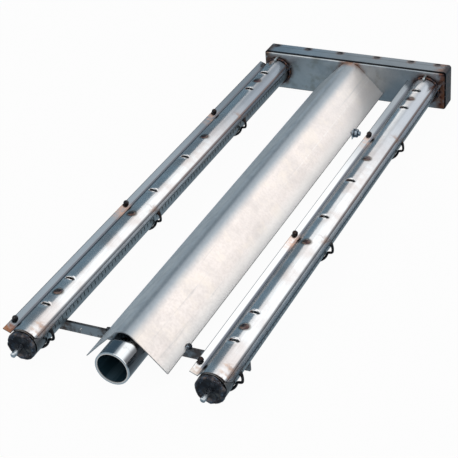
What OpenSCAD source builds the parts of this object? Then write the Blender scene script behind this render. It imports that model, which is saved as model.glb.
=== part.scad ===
/* [Burner rows] */
// Distance between the axes of the two burner tubes
row_spacing = 220; // [190:1:300]
// Length from the tube mouths to the front face of the manifold
row_length = 702; // [660:1:900]
// Outside diameter of a burner tube
tube_od = 33.7; // [32:0.1:36]
// Wall of a burner tube
tube_wall = 1.5; // [1:0.1:2.5]
// Length of both tube kinds inside the manifold
tube_reach = 5; // [3:0.5:10]

/* [Burner ports] */
// Width of one port slot along the tube
port_w = 1.2; // [0.6:0.1:2]
// Height of one port slot round the tube
port_h = 8; // [4:0.5:10]
// Distance between port slots
port_pitch = 8; // [6:0.5:16]
// Angle of the port rows above the tube's sides
port_angle = 8; // [-10:1:15]
// Bare tube before the first port and after the last one
port_margin = 22; // [18:1:60]

/* [End caps and support studs] */
// Thickness of the cap outside the tube
cap_t = 6; // [4:0.5:9]
// Rounding of the cap's rim, on its outer and its inner side
cap_round = 2.5; // [1:0.5:2.5]
// Depth of the cap's face inside its rim
cap_recess = 1.4; // [0.5:0.1:2]
// Depth of the cap's spigot inside the tube
spigot_depth = 8; // [4:0.5:14]
// Diameter of a support stud
stud_d = 6; // [5:0.5:8]
// Free length of a support stud
stud_len = 16; // [10:0.5:24]

/* [Mixing tube] */
// Outside diameter of the mixing tube
mix_od = 40; // [36:0.5:41]
// Wall of the mixing tube
mix_wall = 2.5; // [1:0.1:3]

/* [Manifold] */
// Manifold beyond the outer side of a burner tube
manifold_side = 7.15; // [5.15:0.05:30]
// Height of the manifold
manifold_h = 56; // [54:1:70]
// Depth of the manifold
manifold_d = 27; // [24:1:40]
// Sideways offset of the manifold from the mixing tube
manifold_shift = 4; // [-4:0.5:4]
// Sheet of the manifold band
band_t = 1.6; // [0.8:0.1:2]
// Sheet of the two pans
pan_t = 1.5; // [1:0.1:2]
// Turned edge of a pan
pan_edge = 9; // [7:0.5:10]
// Set-back of the band behind the front plate
band_step = 2.8; // [1.5:0.1:4]
// Outer corner radius of the band
band_round = 4; // [3:0.5:8]
// Diameter of a spot weld mark
spot_d = 7; // [4:0.5:9]
// Distance of the spot welds from the rear edge
spot_inset = 4; // [3.5:0.5:6]

/* [Burner covers] */
// Front end of the covers behind the tube mouths
cover_front = 7.5; // [6.5:0.5:20]
// Gap between the covers and the manifold
cover_rear_gap = 6; // [5:0.5:12]
// Sheet of the covers
cover_t = 1; // [0.8:0.1:1.5]
// Outer radius of the crown
crown_r = 20; // [19.5:0.1:22]
// Half width of the crown between the feet
foot_x = 15.75; // [15:0.05:16.5]
// Width of a flange along its slope
flange_w = 9.1; // [8.5:0.1:12]
// Upward tilt of the flanges
flange_tilt = 23; // [15:1:30]
// Rearward offset of the pressings from the middle of the cover
pressing_offset = 7; // [-10:0.5:10]
// Stagger of the pressings, rearward on the right cover and forward on the left one
pressing_stagger = 3.5; // [0:0.5:6]
// Outer radius of a scoop
scoop_r = 8; // [6:0.5:9]
// Height of a scoop above the crown
scoop_rise = 2.6; // [1.5:0.1:3]
// Diameter of a round dimple
dimple_d = 12; // [10:0.5:13]
// Diameter of the plug weld in a dimple
plug_d = 7.6; // [5:0.1:8]
// Height of a plug weld above the crown
plug_rise = 0.6; // [0.2:0.1:1]

/* [Wire clips] */
// Diameter of the clip wire
wire_d = 3; // [2:0.1:3.4]
// Diameter of the round end over the left flange
knob_d = 7; // [6:0.5:8]
// Diameter of the round end under the right flange
toe_d = 5.6; // [5:0.1:6]
// Station of the first clip behind the tube mouths
clip_first = 27; // [20:1:60]
// Distance between clips
clip_pitch = 252; // [150:1:300]

/* [Roof shield] */
// Front end of the roof behind the tube mouths
roof_front = 28.5; // [10:0.5:45]
// Gap between the mixing tube and the flaps of the roof
roof_gap = 2.4; // [2.2:0.1:8]
// Sheet of the roof
roof_t = 1; // [0.8:0.1:1.2]
// Outer radius of the ridge
ridge_r = 16.7; // [12:0.1:20]
// Slight fold along each flap
roof_fold = 3; // [0:0.5:4]
// Length of the lug at the lower edge
lug_len = 12; // [10:0.5:16]
// Depth of the lug below the edge
lug_drop = 7.5; // [6:0.5:9]
// Radius of the tack welds that hold the roof on the crossbar
roof_tack_r = 4.2; // [2.5:0.1:4.5]

/* [Roof fixing] */
// Diameter of the roof stud
roof_stud_d = 6; // [5:0.5:6]
// Outside diameter of the washer
washer_od = 12; // [11:0.5:12.5]
// Thickness of the washer
washer_t = 1.6; // [1:0.1:2]
// Width across the flats of the nut
nut_af = 10; // [9:0.5:10.5]
// Thickness of the nut
nut_t = 5; // [4:0.5:6]
// Stud beyond the nut
stud_tail = 2.5; // [1:0.5:5]
// Distance of the fixing ahead of the manifold
fixing_back = 120; // [60:1:300]

/* [Crossbar] */
// Station of the crossbar behind the tube mouths
bar_station = 77; // [65:1:160]
// Thickness of the crossbar
bar_t = 3; // [2:0.5:4]
// Depth of the burner tubes in their seats on the crossbar
seat_depth = 1.35; // [1:0.05:3]
// Bar beyond the axis of a burner tube
bar_end = 9.5; // [7:0.5:16]
// Diameter of the small holes
bar_hole_d = 3.5; // [2:0.5:5]
// Distance of the small holes from the mixing tube's axis
bar_hole_x = 83; // [60:1:85]

/* [Welds and clearances] */
// Leg of the beads round the burner tubes
tube_bead = 4; // [2:0.5:4.5]
// Leg of the bead round the mixing tube
mix_bead = 2; // [1:0.5:2]
// Leg of the beads on the crossbar
bar_bead = 1.8; // [1:0.1:2.4]
// Gap between the tube's top and the cover
crown_gap = 0.3; // [0.1:0.1:0.8]
// Gap round a piece that fits in another
fit_gap = 0.1; // [0.05:0.05:0.3]

/* [Hidden] */
$fn = 96;

// The origin is the middle of the mixing tube's mouth. Y runs to the manifold and X to the right.
LEFT = -1;
RIGHT = 1;
tiny = 0.01;
// How far a ball at the end of a round rod stands out of it
ball_margin = 0.05;
row_x = row_spacing / 2;
tube_r = tube_od / 2;
mix_r = mix_od / 2;
tube_end = row_length + pan_t + tube_reach;

// Manifold
manifold_back = row_length + manifold_d;
manifold_w = row_spacing + tube_od + 2 * manifold_side;
band_in_w = manifold_w - 2 * band_t;
band_in_h = manifold_h - 2 * band_t;
pan_w = band_in_w - 2 * fit_gap;
pan_h = band_in_h - 2 * fit_gap;
pan_round = band_round - band_t - fit_gap;
pan_chamfer = 1;
seam_weld_d = 3;
seam_weld_z = [-8, 1.5, 12];
spot_depth = 0.5;
// Spot welds were set by eye, so their shares of the band's half width do not follow a pitch
spot_share = [-0.918, -0.56, -0.2, 0.21, 0.582, 0.866];

// Cover section: the crown is an arc and a flange starts at each foot
crown_top = tube_r + crown_gap + cover_t;
crown_z = crown_top - crown_r;
foot_z = crown_z + sqrt(crown_r * crown_r - foot_x * foot_x);
cover_back = row_length - cover_rear_gap;
pressing_mid = (cover_front + cover_back) / 2 + pressing_offset;
// Places of the pressings either side of that middle
scoop_places = [44, 246, 298];
dimple_places = [101, 273];
scoop_shell = 0.8;
scoop_slit = 0.9;
dimple_depth = 0.6;
tack_r = 2;
tack_overlap = 3;
dimple_r = (dimple_d * dimple_d / 4 + dimple_depth * dimple_depth) / (2 * dimple_depth);

// Wire clip path, seen from the front, round the tube's axis
wire_r = wire_d / 2;
knuckle_r = wire_r + ball_margin;
wrap_r = tube_r + wire_r + fit_gap;
wrap_left = 180;
wrap_right = 348;
jog_out = 6.4;
jog_low = 1.4;
jog_high = 9.9;
notch_w = wire_d + 1.2;
notch_gap = 0.4;
knob_inset = 2.5;
knob_lift = sqrt(knob_d * knob_d - notch_w * notch_w) / 2 + fit_gap;
toe_inset = 3.9;
toe_drop = cover_t + toe_d / 2 + fit_gap;

// Roof section: two flaps that meet at right angles in a rounded ridge, which stands a little proud of them
bar_top = seat_depth - tube_r;
bar_h = bar_top + manifold_h / 2;
bar_end_x = row_x + bar_end;
roof_line = (mix_r + roof_gap + roof_t) * sqrt(2);
roof_half_w = roof_line - bar_top;
ridge_lift = 0.1;
ridge_z = roof_line - ridge_r * sqrt(2);
fold_share = 0.62;
fold_x = roof_half_w * fold_share;
fold_lift = (roof_half_w - fold_x) * tan(roof_fold) / 2;

// Roof fixing
fixing_drop = 0.5;
fixing_z = bar_top - fixing_drop;
fixing_y = row_length - fixing_back;
washer_x = roof_half_w + tiny;
nut_x = washer_x + washer_t;
roof_stud_end = nut_x + nut_t + stud_tail;
stud_play = 0.3;
stud_hole_r = roof_stud_d / 2 + stud_play;

// Share of a bead's leg that its middle stands out
bead_fullness = 0.62;

// Stud shank and cap spigot
shank_r = (stud_d - 1) / 2;
spigot_r = tube_r - tube_wall - fit_gap;

// Ports
port_first = port_margin + cap_t;
port_count = floor((row_length - 2 * port_margin - cap_t) / port_pitch) + 1;

STEEL = "#9aa1a6";
BRIGHT = "#c9ced2";
DARK = "#2e3033";
ROOF = "#b9b7b2";
TINT = "#6d5142";
ZINC = "#aeb6bd";
BAR = "#6b7a84";

// A section drawn in X and Z, extruded from y0 to y1
module run_y(y0, y1) {
    translate([0, y1, 0]) rotate([90, 0, 0]) linear_extrude(y1 - y0) children();
}

// A round solid along Y
module rod_y(r, y0, y1) {
    translate([0, y0, 0]) rotate([-90, 0, 0]) cylinder(r = r, h = y1 - y0);
}

// A round solid along X
module rod_x(r, x0, x1) {
    translate([x0, 0, 0]) rotate([0, 90, 0]) cylinder(r = r, h = x1 - x0);
}

module at_row(side) {
    translate([side * row_x, 0, 0]) children();
}

module rounded_rect(w, h, r) {
    square([w - 2 * r, h], center = true);
    square([w, h - 2 * r], center = true);
    for (x = [-1, 1], y = [-1, 1]) translate([x * (w / 2 - r), y * (h / 2 - r)]) circle(r);
}

// A bead in the corner between a face at y and a tube of radius r, on the face's front side
module bead(r, leg, y) {
    belly = bead_fullness * leg;
    translate([0, y, 0]) rotate([90, 0, 0]) rotate_extrude()
        polygon([[r, 0], [r + leg, 0], [r + belly, belly], [r, leg]]);
}

// A sheet pan whose plate starts at the section plane y0 and whose edges turn to +Y
module pan(y0) {
    c = pan_chamfer;
    w = pan_w / 2;
    h = pan_h / 2;
    e = pan_edge;
    translate([0, y0, 0]) difference() {
        intersection() {
            run_y(0, e) rounded_rect(pan_w, pan_h, pan_round);
            translate([-w, 0, 0]) rotate([90, 0, 90]) linear_extrude(pan_w)
                polygon([[0, c - h], [c, -h], [e, -h], [e, h], [c, h], [0, h - c]]);
            translate([0, 0, -h]) linear_extrude(pan_h)
                polygon([[c - w, 0], [w - c, 0], [w, c], [w, e], [-w, e], [-w, c]]);
        }
        run_y(pan_t, e + 1) rounded_rect(pan_w - 2 * pan_t, pan_h - 2 * pan_t, pan_round - pan_t / 2);
    }
}

module manifold_front_plate() {
    color(STEEL) difference() {
        translate([manifold_shift, 0, 0]) pan(row_length);
        for (side = [LEFT, RIGHT]) at_row(side)
            rod_y(tube_r + fit_gap, row_length - 1, row_length + pan_t + 1);
        rod_y(mix_r + fit_gap, row_length - 1, row_length + pan_t + 1);
    }
}

module manifold_back_plate() {
    color(STEEL) translate([manifold_shift, manifold_back, 0]) mirror([0, 1, 0]) pan(0);
}

module manifold_band() {
    spot_r = (spot_d * spot_d / 4 + spot_depth * spot_depth) / (2 * spot_depth);
    spot_lift = manifold_h / 2 + spot_r - spot_depth;
    color(STEEL) translate([manifold_shift, 0, 0]) difference() {
        run_y(row_length + band_step, manifold_back) rounded_rect(manifold_w, manifold_h, band_round);
        run_y(row_length, manifold_back + 1) rounded_rect(band_in_w, band_in_h, band_round - band_t);
        for (share = spot_share, z = [-1, 1])
            translate([share * manifold_w / 2, manifold_back - spot_inset, z * spot_lift]) sphere(spot_r);
    }
}

// Weld spots in the step between the front plate and the ends of the band
module manifold_seam_welds() {
    place = [manifold_shift, row_length + band_step, 0];
    color(TINT) translate(place) for (side = [LEFT, RIGHT], z = seam_weld_z)
        difference() {
            translate([side * pan_w / 2, 0, z]) sphere(seam_weld_d / 2);
            translate([side < 0 ? -pan_w / 2 : pan_w / 2 - seam_weld_d, -seam_weld_d, z - seam_weld_d])
                cube([seam_weld_d, 2 * seam_weld_d, 2 * seam_weld_d]);
            translate([side * pan_w / 2 - seam_weld_d, 0, z - seam_weld_d])
                cube([2 * seam_weld_d, seam_weld_d, 2 * seam_weld_d]);
        }
}

module mixing_tube() {
    color(BRIGHT) difference() {
        rod_y(mix_r, 0, tube_end);
        rod_y(mix_r - mix_wall, -1, tube_end + 1);
    }
}

module mixing_tube_weld() {
    color(TINT) bead(mix_r, mix_bead, row_length);
}

// The port rows are slots sawn into both sides of the tube
module ports() {
    for (turn = [-port_angle, 180 + port_angle], i = [0 : port_count - 1])
        translate([0, port_first + i * port_pitch, 0]) rotate([0, turn, 0])
            translate([tube_r - 2 * tube_wall, -port_w / 2, -port_h / 2])
                cube([3 * tube_wall, port_w, port_h]);
}

module burner_tube(side) {
    color(STEEL) at_row(side) difference() {
        rod_y(tube_r, cap_t, tube_end);
        rod_y(tube_r - tube_wall, cap_t - 1, tube_end + 1);
        ports();
    }
}

module tube_weld(side) {
    color(TINT) at_row(side) bead(tube_r, tube_bead, row_length);
}

// Plug with a sunk face inside a rounded rim and a spigot in the tube
module end_cap(side) {
    color(DARK) at_row(side) rotate([-90, 0, 0]) difference() {
        union() {
            translate([0, 0, cap_recess]) cylinder(r = tube_r - cap_round, h = cap_t - cap_recess);
            translate([0, 0, cap_round]) cylinder(r = tube_r, h = cap_t - cap_round);
            translate([0, 0, cap_round]) rotate_extrude()
                translate([tube_r - cap_round, 0]) circle(cap_round);
            translate([0, 0, cap_recess]) cylinder(r = spigot_r, h = cap_t + spigot_depth - cap_recess);
        }
        cylinder(r = shank_r, h = cap_t + spigot_depth + 1);
    }
}

// Stud with a chamfered tip and a thinner shank in the cap
module support_stud(side) {
    r = stud_d / 2;
    chamfer = r / 3;
    color(ZINC) at_row(side) rotate([90, 0, 0]) rotate_extrude() polygon([
        [0, -cap_t - spigot_depth], [shank_r, -cap_t - spigot_depth],
        [shank_r, -cap_recess], [r, -cap_recess],
        [r, stud_len - chamfer], [r - chamfer, stud_len], [0, stud_len]
    ]);
}

// Outline of a crown of radius r with everything inside it
module crown_disc(r) {
    translate([0, crown_z]) circle(r);
}

// The sheet is the space between its upper outline and its lower one
module cover_section() {
    slope = tan(flange_tilt);
    far = 2 * crown_r;
    low = foot_z - foot_x * slope - cover_t / cos(flange_tilt);
    difference() {
        union() {
            crown_disc(crown_r);
            for (side = [0, 1]) mirror([side, 0]) translate([foot_x, foot_z]) rotate(flange_tilt)
                translate([-foot_x / 2, -2 * cover_t]) square([flange_w + foot_x / 2, 2 * cover_t]);
        }
        crown_disc(crown_r - cover_t);
        polygon([
            [0, low], [far, low + far * slope], [far, -2 * far],
            [-far, -2 * far], [-far, low + far * slope]
        ]);
    }
}

// Ball that breaks through the crown by the scoop's rise
module scoop_ball(r) {
    translate([0, 0, crown_top + scoop_rise - scoop_r]) rotate([90, 0, 0]) sphere(r);
}

// Half of a pressed ball, open to the front
module scoop() {
    difference() {
        scoop_ball(scoop_r);
        scoop_ball(scoop_r - scoop_shell);
        translate([-scoop_r, -2 * scoop_r, 0]) cube([2 * scoop_r, 2 * scoop_r, 2 * crown_top]);
        translate([0, -scoop_r, crown_z]) rod_y(crown_r - cover_t / 2, 0, 2 * scoop_r);
    }
}

// The slit that the scoop leaves in the crown
module scoop_opening() {
    difference() {
        scoop_ball(scoop_r - scoop_shell);
        translate([-scoop_r, -2 * scoop_r - scoop_slit, 0]) cube([2 * scoop_r, 2 * scoop_r, 2 * crown_top]);
    }
}

function mirrored(places) = concat([for (p = places) -p], places);

// A point at a distance from the foot along the right flange and at a height over its top face
function on_flange(along, rise) = [
    foot_x + along * cos(flange_tilt) - rise * sin(flange_tilt),
    foot_z + along * sin(flange_tilt) + rise * cos(flange_tilt)
];

knob_place = on_flange(flange_w - knob_inset, knob_lift);
toe_place = on_flange(flange_w - toe_inset, -toe_drop);

// Notches in the left flange, cut along the wires that pass through it
module clip_notches() {
    lean = atan2(knob_place[0] - wrap_r, knob_place[1]);
    for (i = [0 : 2]) translate([-wrap_r, clip_first + i * clip_pitch - notch_w / 2, 0]) rotate([0, -lean, 0])
        translate([-flange_w, 0, 0]) cube([flange_w + wire_r + notch_gap, notch_w, 2 * knob_place[1]]);
}

module cover(side) {
    middle = pressing_mid + side * pressing_stagger;
    color(BRIGHT) at_row(side) {
        difference() {
            run_y(cover_front, cover_back) cover_section();
            for (p = mirrored(scoop_places)) translate([0, middle + p, 0]) scoop_opening();
            for (p = mirrored(dimple_places)) translate([0, middle + p, 0]) {
                translate([0, 0, crown_top - dimple_depth + dimple_r]) sphere(dimple_r);
                cylinder(d = plug_d, h = 2 * crown_top);
            }
            clip_notches();
        }
        for (p = mirrored(scoop_places)) translate([0, middle + p, 0]) scoop();
    }
}

// Plug welds fill the dimple holes, stand on the tube and end in a low dome
module cover_welds(side) {
    middle = pressing_mid + side * pressing_stagger;
    color(TINT) at_row(side) for (p = mirrored(dimple_places)) translate([0, middle + p, 0]) difference() {
        intersection() {
            cylinder(r = plug_d / 2 - fit_gap, h = 2 * crown_top);
            translate([0, 0, crown_top + plug_rise - plug_d]) sphere(plug_d);
        }
        rotate([90, 0, 0]) cylinder(r = tube_r, h = 2 * plug_d, center = true);
    }
}

module cover_tack_welds() {
    start = cover_back - tack_overlap;
    color(ZINC) for (side = [LEFT, RIGHT]) at_row(side) difference() {
        translate([0, 0, crown_top + tack_r + ball_margin]) {
            rod_y(tack_r, start, row_length);
            translate([0, start, 0]) sphere(tack_r + ball_margin);
        }
        bead(tube_r, tube_bead, row_length);
    }
}

// One straight length of wire between two points in X and Z, with a knuckle at each end
module wire_leg(a, b) {
    leg = b - a;
    translate([a[0], 0, a[1]]) rotate([0, atan2(leg[0], leg[1]), 0]) cylinder(r = wire_r, h = norm(leg));
    for (p = [a, b]) translate([p[0], 0, p[1]]) sphere(knuckle_r);
}

function on_wrap(angle) = [wrap_r * cos(angle), wrap_r * sin(angle)];

// The wire wraps the tube's underside. Its left end is over a notch and its right end under the other flange.
module wire_clip(side, place) {
    low = on_wrap(wrap_right) + [jog_out, jog_low];
    high = on_wrap(wrap_right) + [jog_out, jog_high];
    knob = [-knob_place[0], knob_place[1]];
    color(DARK) at_row(side) translate([0, clip_first + place * clip_pitch, 0]) {
        rotate([90, 0, 0]) rotate([0, 0, wrap_left]) rotate_extrude(angle = wrap_right - wrap_left)
            translate([wrap_r, 0]) circle(wire_r);
        wire_leg(on_wrap(wrap_left), knob);
        wire_leg(on_wrap(wrap_right), low);
        wire_leg(low, high);
        wire_leg(high, toe_place);
        translate([knob[0], 0, knob[1]]) sphere(d = knob_d);
        translate([toe_place[0], 0, toe_place[1]]) sphere(d = toe_d);
    }
}

// Filled outline of the roof at a depth below its outer face, with a slight fold in each flap
module roof_outline(inset) {
    r = ridge_r - inset;
    tangent = r * cos(45);
    drop = inset * sqrt(2);
    fold_z = roof_line - fold_x + fold_lift - drop;
    translate([0, ridge_z + ridge_lift]) circle(r);
    polygon([
        [tangent, ridge_z + tangent], [fold_x, fold_z], [roof_half_w, bar_top - drop],
        [-roof_half_w, bar_top - drop], [-fold_x, fold_z], [-tangent, ridge_z + tangent]
    ]);
}

module roof_section() {
    difference() {
        roof_outline(0);
        roof_outline(roof_t);
    }
}

module at_fixing() {
    translate([0, fixing_y, fixing_z]) children();
}

// The lug turns down from the right flap and is cut to the flap's slope at the top
module lug_section() {
    polygon([
        [roof_half_w - roof_t, bar_top - lug_drop], [roof_half_w, bar_top - lug_drop],
        [roof_half_w, bar_top], [roof_half_w - roof_t, bar_top + roof_t]
    ]);
}

module roof_shield() {
    color(ROOF) difference() {
        union() {
            run_y(roof_front, row_length) roof_section();
            run_y(fixing_y - lug_len / 2, fixing_y + lug_len / 2) lug_section();
        }
        at_fixing() rod_x(stud_hole_r, mix_r, washer_x + 1);
    }
}

// A blob at each lower edge of the roof where it stands on the crossbar
module roof_tack_welds() {
    color(TINT) for (side = [LEFT, RIGHT]) difference() {
        translate([side * roof_half_w, bar_station, bar_top + roof_tack_r / 3]) sphere(roof_tack_r);
        run_y(roof_front, row_length) roof_outline(0);
        crossbar_blank();
    }
}

// The stud is coped to the mixing tube
module roof_stud() {
    color(ZINC) difference() {
        at_fixing() rod_x(roof_stud_d / 2, mix_r / 4, roof_stud_end);
        rod_y(mix_r, 0, row_length);
    }
}

module roof_washer() {
    color(ZINC) at_fixing() difference() {
        rod_x(washer_od / 2, washer_x, nut_x);
        rod_x(roof_stud_d / 2 + fit_gap, washer_x - 1, nut_x + 1);
    }
}

module roof_nut() {
    color(ZINC) at_fixing() difference() {
        translate([nut_x, 0, 0]) rotate([0, 90, 0]) cylinder(d = nut_af / cos(30), h = nut_t, $fn = 6);
        rod_x(roof_stud_d / 2 + fit_gap, nut_x - 1, nut_x + nut_t + 1);
    }
}

module crossbar_blank() {
    translate([-bar_end_x, bar_station - bar_t / 2, bar_top - bar_h]) cube([2 * bar_end_x, bar_t, bar_h]);
}

module front_crossbar() {
    y0 = bar_station - bar_t / 2;
    y1 = bar_station + bar_t / 2;
    color(BAR) difference() {
        crossbar_blank();
        for (side = [LEFT, RIGHT]) at_row(side) rod_y(tube_r + fit_gap, y0 - 1, y1 + 1);
        rod_y(mix_r + fit_gap, y0 - 1, y1 + 1);
        for (side = [LEFT, RIGHT]) translate([side * bar_hole_x, 0, bar_top - bar_h / 2])
            rod_y(bar_hole_d / 2, y0 - 1, y1 + 1);
    }
}

// The beads on the bar's front face reach as far round each tube as the bar does
module crossbar_welds() {
    color(TINT) intersection() {
        union() {
            for (side = [LEFT, RIGHT]) at_row(side) bead(tube_r, bar_bead, bar_station - bar_t / 2);
            bead(mix_r, bar_bead, bar_station - bar_t / 2);
        }
        translate([-bar_end_x, 0, bar_top - bar_h]) cube([2 * bar_end_x, row_length, bar_h]);
    }
}

manifold_front_plate();
manifold_band();
manifold_back_plate();
manifold_seam_welds();
mixing_tube();
mixing_tube_weld();
roof_shield();
roof_tack_welds();
roof_stud();
roof_washer();
roof_nut();
front_crossbar();
crossbar_welds();
burner_tube(LEFT);  // burner_tube_left
burner_tube(RIGHT);  // burner_tube_right
tube_weld(LEFT);  // tube_weld_left
tube_weld(RIGHT);  // tube_weld_right
end_cap(LEFT);  // end_cap_left
end_cap(RIGHT);  // end_cap_right
support_stud(LEFT);  // support_stud_left
support_stud(RIGHT);  // support_stud_right
cover(LEFT);  // cover_left
cover(RIGHT);  // cover_right
cover_welds(LEFT);  // cover_welds_left
cover_welds(RIGHT);  // cover_welds_right
cover_tack_welds();
wire_clip(LEFT, 0);  // wire_clip_left_front
wire_clip(LEFT, 1);  // wire_clip_left_middle
wire_clip(LEFT, 2);  // wire_clip_left_rear
wire_clip(RIGHT, 0);  // wire_clip_right_front
wire_clip(RIGHT, 1);  // wire_clip_right_middle
wire_clip(RIGHT, 2);  // wire_clip_right_rear
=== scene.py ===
"""Looks of a two-row tube burner: slotted tubes, winged covers, roof, manifold, crossbar and wire clips."""

import logging
import math
from collections.abc import Callable
from dataclasses import dataclass
from enum import Enum

import bpy
from mathutils import Matrix, Vector


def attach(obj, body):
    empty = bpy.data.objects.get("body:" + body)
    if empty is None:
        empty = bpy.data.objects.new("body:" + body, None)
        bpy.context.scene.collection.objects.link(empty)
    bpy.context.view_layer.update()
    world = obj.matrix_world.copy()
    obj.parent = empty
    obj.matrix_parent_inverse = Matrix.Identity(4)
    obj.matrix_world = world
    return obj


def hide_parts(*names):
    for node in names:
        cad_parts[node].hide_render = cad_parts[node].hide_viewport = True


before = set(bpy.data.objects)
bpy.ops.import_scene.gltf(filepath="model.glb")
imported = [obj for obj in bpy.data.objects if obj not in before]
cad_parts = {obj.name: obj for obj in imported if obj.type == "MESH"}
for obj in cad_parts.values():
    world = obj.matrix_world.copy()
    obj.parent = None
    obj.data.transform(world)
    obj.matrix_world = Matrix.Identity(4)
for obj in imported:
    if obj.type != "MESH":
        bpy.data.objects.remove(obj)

LOG = logging.getLogger("tube_burner")
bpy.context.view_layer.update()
MILLI = 0.001
ROW_X = 110.0
TUBE_R = 16.85
CROWN_TOP = 18.15
MANIFOLD_Y = 702.0
BODY = "root"

Socket = bpy.types.NodeSocket
Mask = float | Socket


class Side(Enum):
    """The two burner rows, seen from the tube mouths."""

    LEFT = -1
    RIGHT = 1

    @property
    def word(self) -> str:
        """The side's name as the nodes spell it."""
        return self.name.lower()

    @property
    def x(self) -> float:
        """The row's place in mm."""
        return self.value * ROW_X


class Place(Enum):
    """The three stations of the wire clips, in mm behind the tube mouths."""

    FRONT = 27.0
    MIDDLE = 279.0
    REAR = 531.0


class Run(Enum):
    """The way that a pattern is drawn out."""

    EVEN = (1.0, 1.0, 1.0)
    LENGTHWISE = (1.0, 0.04, 1.0)
    ACROSS = (0.06, 1.0, 1.0)


def linear(code: str) -> tuple[float, float, float, float]:
    """Turns an sRGB hex colour into linear values.

    Args:
        code: Six hex digits with a leading hash.

    Returns:
        Red, green, blue and an alpha of one.
    """
    parts = [int(code[i:i + 2], 16) / 255 for i in (1, 3, 5)]
    red, green, blue = (p / 12.92 if p <= 0.04045 else ((p + 0.055) / 1.055) ** 2.4 for p in parts)
    return red, green, blue, 1.0


def add_node(
    tree: bpy.types.NodeTree, kind: str, inputs: dict | None = None, **settings: object
) -> bpy.types.Node:
    """Adds a shader node with its settings and links.

    Args:
        tree: The node tree that gets the node.
        kind: The node's type name.
        inputs: Input name or number, with a value or the socket that feeds it.
        **settings: The node's own properties.

    Returns:
        The new node.
    """
    made = tree.nodes.new(kind)
    for name, value in settings.items():
        setattr(made, name, value)
    for key, value in (inputs or {}).items():
        if isinstance(value, Socket):
            tree.links.new(value, made.inputs[key])
        else:
            made.inputs[key].default_value = value
    return made


class Paint:
    """Colours that are laid over one another on one material, in mm from a chosen middle."""

    def __init__(self, tree: bpy.types.NodeTree, colour: str, middle_x: float = 0.0) -> None:
        """Starts with one colour.

        Args:
            tree: The material's node tree.
            colour: The sRGB colour of the clean surface.
            middle_x: The place across the burner that x is measured from, in mm.
        """
        self.tree = tree
        place = add_node(tree, "ShaderNodeTexCoord").outputs["Object"]
        scaled = add_node(
            tree,
            "ShaderNodeMapping",
            {"Vector": place, "Location": (-middle_x, 0, 0), "Scale": (1 / MILLI,) * 3},
        )
        self.place = scaled.outputs[0]
        split = add_node(tree, "ShaderNodeSeparateXYZ", {"Vector": self.place})
        self.x, self.y, self.z = split.outputs
        self.colour: Socket | tuple[float, float, float, float] = linear(colour)

    def patches(self, size_mm: float, start: float, full: float, run: Run = Run.EVEN) -> Socket:
        """Uneven patches of a real size.

        Args:
            size_mm: Size of one patch.
            start: Noise value at which a patch begins.
            full: Noise value at which it is full.
            run: The way that the patches are drawn out.

        Returns:
            A mask from zero to one.
        """
        drawn = add_node(self.tree, "ShaderNodeMapping", {"Vector": self.place, "Scale": run.value})
        noise = add_node(
            self.tree,
            "ShaderNodeTexNoise",
            {"Vector": drawn.outputs[0], "Scale": 1 / size_mm, "Detail": 4.0, "Roughness": 0.6},
        )
        return self.step(noise.outputs[0], start, full)

    def step(self, value: Socket, none: float, full: float) -> Socket:
        """A soft step from zero at one value to one at another."""
        ends = {"To Min": 0.0, "To Max": 1.0} if none < full else {"To Min": 1.0, "To Max": 0.0}
        low, high = sorted((none, full))
        made = add_node(
            self.tree,
            "ShaderNodeMapRange",
            {"Value": value, "From Min": low, "From Max": high, **ends},
            interpolation_type="SMOOTHSTEP",
        )
        return made.outputs[0]

    def spot(self, at: dict[str, float], full: float, none: float) -> Socket:
        """A round mark, or a straight band where only one coordinate is given.

        Args:
            at: Coordinate names with the middle's place.
            full: Distance within which the mark is full.
            none: Distance at which it has faded.

        Returns:
            A mask from zero to one.
        """
        gaps = [
            add_node(
                self.tree, "ShaderNodeMath", {0: getattr(self, axis), 1: middle}, operation="SUBTRACT"
            ).outputs[0]
            for axis, middle in at.items()
        ]
        arrow = add_node(self.tree, "ShaderNodeCombineXYZ", dict(enumerate(gaps)))
        reach = add_node(self.tree, "ShaderNodeVectorMath", {0: arrow.outputs[0]}, operation="LENGTH")
        return self.step(reach.outputs["Value"], none, full)

    def wash(self, colour: str, *masks: Mask) -> None:
        """Lays a colour over what is there.

        Args:
            colour: The sRGB colour on top.
            *masks: Strengths that are multiplied.
        """
        total = masks[0]
        for mask in masks[1:]:
            product = add_node(self.tree, "ShaderNodeMath", {0: total, 1: mask}, operation="MULTIPLY")
            total = product.outputs[0]
        mix = add_node(
            self.tree, "ShaderNodeMix", {0: total, 6: self.colour, 7: linear(colour)}, data_type="RGBA"
        )
        self.colour = mix.outputs[2]

    def finish(
        self, metallic: Mask, gloss: Socket, rough: tuple[float, float], relief: Socket, deep_mm: float
    ) -> None:
        """Joins the colours to the shader.

        Args:
            metallic: The share of metal, a number or a mask.
            gloss: Mask that moves the roughness between its two ends.
            rough: Roughness where the mask is zero and where it is one.
            relief: Height mask.
            deep_mm: Height of the relief.
        """
        spread = add_node(
            self.tree, "ShaderNodeMapRange", {"Value": gloss, "To Min": rough[0], "To Max": rough[1]}
        )
        bump = add_node(self.tree, "ShaderNodeBump", {"Height": relief, "Distance": deep_mm * MILLI})
        shader = add_node(
            self.tree,
            "ShaderNodeBsdfPrincipled",
            {
                "Base Color": self.colour,
                "Metallic": metallic,
                "Roughness": spread.outputs[0],
                "Normal": bump.outputs[0],
            },
        )
        add_node(self.tree, "ShaderNodeOutputMaterial", {"Surface": shader.outputs[0]})


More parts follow.
